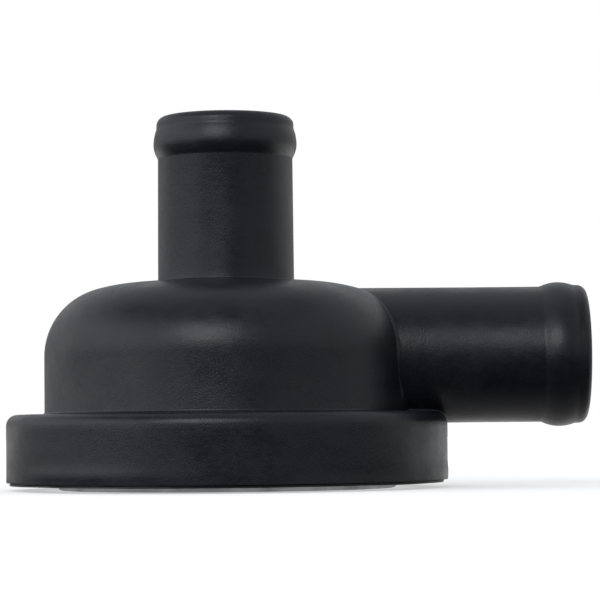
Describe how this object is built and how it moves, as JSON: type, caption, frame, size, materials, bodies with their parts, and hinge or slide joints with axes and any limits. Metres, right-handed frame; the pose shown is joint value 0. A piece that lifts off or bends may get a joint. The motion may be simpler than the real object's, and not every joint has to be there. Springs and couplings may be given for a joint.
{
  "type": "crankcase ventilation valve",
  "caption": "Round black diaphragm valve for crankcase ventilation, with a domed body, a beaded hose port on top, another on its side, and a flat steel cover underneath.",
  "frame": {"origin": "centre of the steel cover's outer face, on the axis that the valve plate slides along", "axes": "+Z along that axis from the cover towards the end of the centre port, +X along the side port, out of its mouth, +Y completes a right-handed frame"},
  "size_m": [0.1067, 0.081, 0.0686],
  "materials": {
    "housing": "satin-matte black glass-filled nylon, moulded",
    "cover": "pressed sheet steel, bright zinc plate",
    "clamp_ring": "plain black nylon, moulded",
    "diaphragm": "black rubber, matt",
    "spring": "drawn spring steel wire",
    "valve_disc": "black acetal, moulded",
    "backing_washer": "stamped steel, bright zinc plate",
    "plate_rivet": "cold-headed steel, bright zinc plate"
  },
  "bodies": {
    "housing": {"housing": "housing", "cover": "cover", "clamp_ring": "clamp_ring", "diaphragm": "diaphragm", "spring": "spring"},
    "plate": {"valve_disc": "valve_disc", "backing_washer": "backing_washer", "plate_rivet": "plate_rivet"}
  },
  "joints": [
    {"name": "plate_slide", "type": "slide", "parent": "housing", "child": "plate", "axis": [0, 0, 1], "range_m": [0, 0.006], "stiffness_N_per_m": 148, "springref_m": -0.011, "deforming": ["spring", "diaphragm"]}
  ]
}
